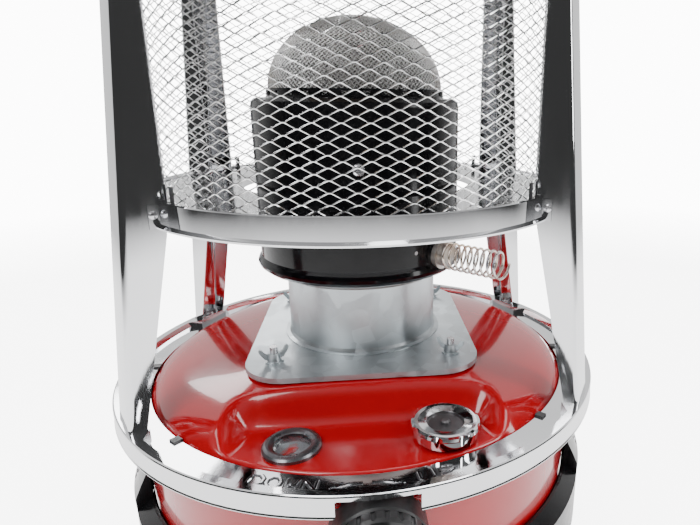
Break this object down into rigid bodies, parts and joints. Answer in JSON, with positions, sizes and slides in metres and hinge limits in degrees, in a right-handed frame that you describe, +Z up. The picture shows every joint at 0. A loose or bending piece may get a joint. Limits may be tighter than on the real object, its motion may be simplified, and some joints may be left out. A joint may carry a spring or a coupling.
{
  "type": "kerosene heater",
  "caption": "Portable round wick heater: red enamelled tank on a black base, chrome ring and posts, mesh guard around a lift-out burner with dome, wick knob, fuel gauge and screw cap",
  "frame": {"origin": "on the floor plane under the axis of the tank and burner", "axes": "+Z up, -Y is the front with the wick knob, +X is the side with the wire grip"},
  "size_m": [0.3268, 0.3445, 0.463],
  "materials": {
    "rubber": "moulded black rubber",
    "black_base": "glossy black enamel",
    "zinc_screws": "bright zinc plate",
    "galvanised": "galvanised sheet with a faint spangle",
    "red_enamel": "glossy red enamel",
    "chrome": "polished chrome plate",
    "dark_clip": "dark oxide",
    "guard_wire": "bright expanded mesh",
    "heat_steel": "heat-toned steel sheet",
    "gasket": "dark fibre gasket",
    "black_enamel": "glossy black heat-proof enamel",
    "dome_mesh": "fine woven steel mesh",
    "spring_steel": "nickel plated wire",
    "black_plastic": "moulded black plastic",
    "steel_shaft": "plain drawn steel",
    "brass": "plain brass",
    "wick_cotton": "woven cotton and glass fibre",
    "plated_filler": "dull plated steel",
    "strainer_plastic": "pale moulded plastic",
    "gauge_metal": "dull grey bezel",
    "gauge_face": "grey dial with plain scale",
    "gauge_glass": "clear",
    "needle_red": "red pointer",
    "cork_float": "tan hollow float"
  },
  "bodies": {
    "stand": {"foot_ring": "rubber", "base_tray": "black_base", "side_handle_right": "black_base", "side_handle_left": "black_base", "handle_screws": "zinc_screws", "support_ring": "galvanised", "base_bolts": "zinc_screws", "tank_bowl": "red_enamel", "tank_top": "red_enamel", "lower_ring": "chrome", "ring_clips": "dark_clip", "post_front_right": "chrome", "post_front_left": "chrome", "post_rear_left": "chrome", "post_rear_right": "chrome", "post_foot_screws": "zinc_screws", "upper_tray": "chrome", "tray_screws": "zinc_screws", "mesh_guard": "guard_wire", "guard_clips": "dark_clip", "top_plate": "chrome", "top_screws": "zinc_screws", "heat_shield": "heat_steel", "shield_spacers": "zinc_screws", "mount_gasket": "gasket", "mount_plate": "galvanised", "burner_neck": "galvanised", "mount_studs": "zinc_screws", "wing_nuts": "galvanised", "wick_inner_tube": "galvanised", "wick_outer_tube": "galvanised", "shaft_tunnel": "galvanised", "shaft_gland": "brass", "knob_housing": "black_plastic", "filler_neck": "plated_filler", "fuel_strainer": "strainer_plastic", "gauge_housing": "gauge_metal", "gauge_dial": "gauge_face", "gauge_lens": "gauge_glass", "float_bracket": "steel_shaft"},
    "burner": {"air_ring": "heat_steel", "burner_drum": "black_enamel", "outer_flame_tube": "heat_steel", "inner_flame_tube": "heat_steel", "flame_spreader": "heat_steel", "cross_pins": "heat_steel", "mesh_dome": "dome_mesh", "drum_screws": "zinc_screws", "wire_grip": "spring_steel", "grip_bracket": "heat_steel"},
    "knob": {"wick_knob": "black_plastic", "knob_shaft": "steel_shaft", "drive_pinion": "brass"},
    "wick": {"wick_carrier": "brass", "wick_sleeve": "wick_cotton"},
    "cap_disc": {"cap_insert": "plated_filler"},
    "cap": {"cap_shell": "chrome"},
    "needle": {"gauge_needle": "needle_red"},
    "float": {"float_arm": "steel_shaft", "fuel_float": "cork_float"}
  },
  "joints": [
    {"name": "burner_lift", "type": "slide", "parent": "stand", "child": "burner", "axis": [0, 0, 1], "range_m": [0, 0.026]},
    {"name": "wick_knob_turn", "type": "hinge", "parent": "stand", "child": "knob", "pos_m": [0.00471, -0.14993, 0.0985], "axis": [-0.0314, 0.9995, 0], "range_deg": [0, 98]},
    {"name": "wick_lift", "type": "slide", "parent": "stand", "child": "wick", "axis": [0, 0, 1], "range_m": [0, 0.01197]},
    {"name": "cap_rise", "type": "slide", "parent": "stand", "child": "cap_disc", "axis": [0, 0, 1], "range_m": [0, 0.006]},
    {"name": "cap_turn", "type": "hinge", "parent": "cap_disc", "child": "cap", "pos_m": [0.044, -0.113, 0.13], "axis": [0, 0, 1], "range_deg": [0, 540]},
    {"name": "float_swing", "type": "hinge", "parent": "stand", "child": "float", "pos_m": [-0.04, -0.1135, 0.1015], "axis": [1, 0, 0], "range_deg": [0, 45]},
    {"name": "gauge_needle_turn", "type": "hinge", "parent": "stand", "child": "needle", "pos_m": [-0.04, -0.1135, 0.123], "axis": [0, 0, 1], "range_deg": [0, 90.5]}
  ],
  "couplings": [
    {"joint": "wick_knob_turn", "follows": "wick_lift", "rad_per_m": 142.86},
    {"joint": "cap_turn", "follows": "cap_rise", "rad_per_m": 1570.8},
    {"joint": "gauge_needle_turn", "follows": "float_swing", "ratio": 2}
  ]
}
